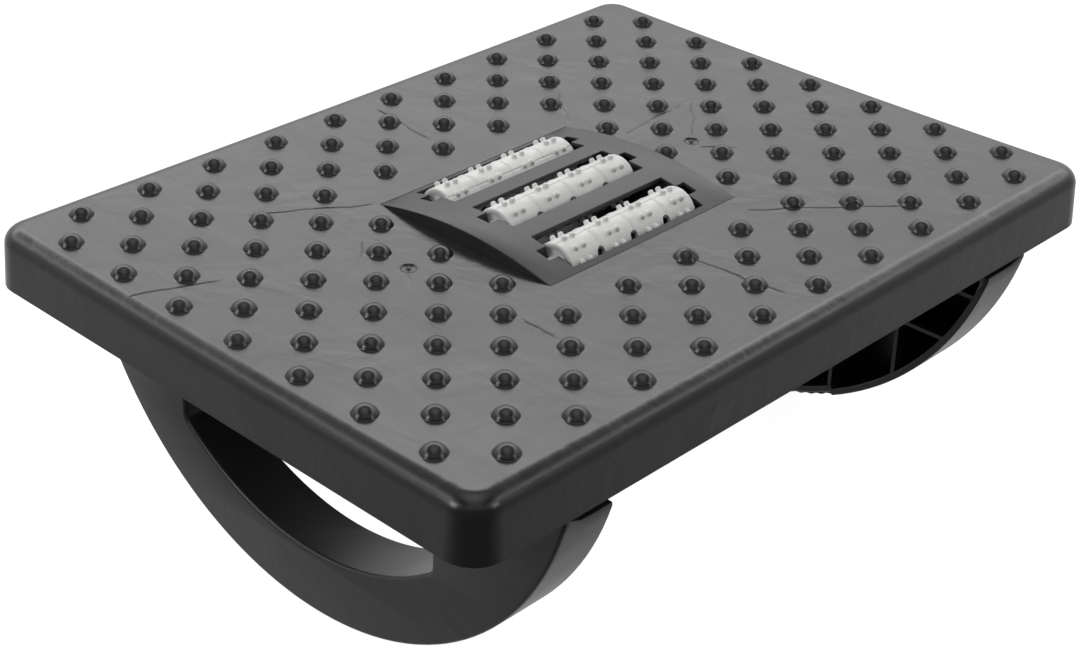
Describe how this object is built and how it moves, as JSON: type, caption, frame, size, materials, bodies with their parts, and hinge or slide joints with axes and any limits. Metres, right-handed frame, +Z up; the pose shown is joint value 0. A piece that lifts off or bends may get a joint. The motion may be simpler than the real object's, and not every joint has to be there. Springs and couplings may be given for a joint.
{
  "type": "rocking foot rest with massage rollers",
  "caption": "Rectangular platform with domed bumps on curved hollow rockers, with spinning nubbed rollers in an arched central housing.",
  "frame": {"origin": "on the floor, under the middle of the part's bounding box", "axes": "+X along the platform's long side and the rollers' axes, -Y towards the front long side, +Z up"},
  "size_m": [0.4532, 0.3332, 0.1715],
  "materials": {
    "black_moulding": "satin moulded polypropylene",
    "black_insert": "smooth satin moulding",
    "white_roller": "off-white moulded plastic",
    "screw_steel": "zinc-plated steel",
    "pad_rubber": "matt rubber"
  },
  "bodies": {
    "base": {"platform": "black_moulding", "roller_housing": "black_insert", "roller_tray": "black_insert", "left_bearing_rail": "black_insert", "right_bearing_rail": "black_insert", "housing_screws": "screw_steel", "rail_screws": "screw_steel", "left_rocker": "black_moulding", "right_rocker": "black_moulding", "left_tread_pad": "pad_rubber", "right_tread_pad": "pad_rubber", "rocker_screws": "screw_steel"},
    "rear_roller": {"rear_shell_plain": "white_roller", "rear_shell_slotted": "white_roller", "rear_rod": "screw_steel"},
    "middle_roller": {"middle_shell_plain": "white_roller", "middle_shell_slotted": "white_roller", "middle_rod": "screw_steel"},
    "front_roller": {"front_shell_plain": "white_roller", "front_shell_slotted": "white_roller", "front_rod": "screw_steel"}
  },
  "joints": [
    {"name": "rear_roller_spin", "type": "hinge", "parent": "base", "child": "rear_roller", "pos_m": [0, 0.04, 0.1537], "axis": [1, 0, 0], "continuous": true},
    {"name": "middle_roller_spin", "type": "hinge", "parent": "base", "child": "middle_roller", "pos_m": [0, 0, 0.15735], "axis": [1, 0, 0], "continuous": true},
    {"name": "front_roller_spin", "type": "hinge", "parent": "base", "child": "front_roller", "pos_m": [0, -0.04, 0.1537], "axis": [1, 0, 0], "continuous": true}
  ]
}
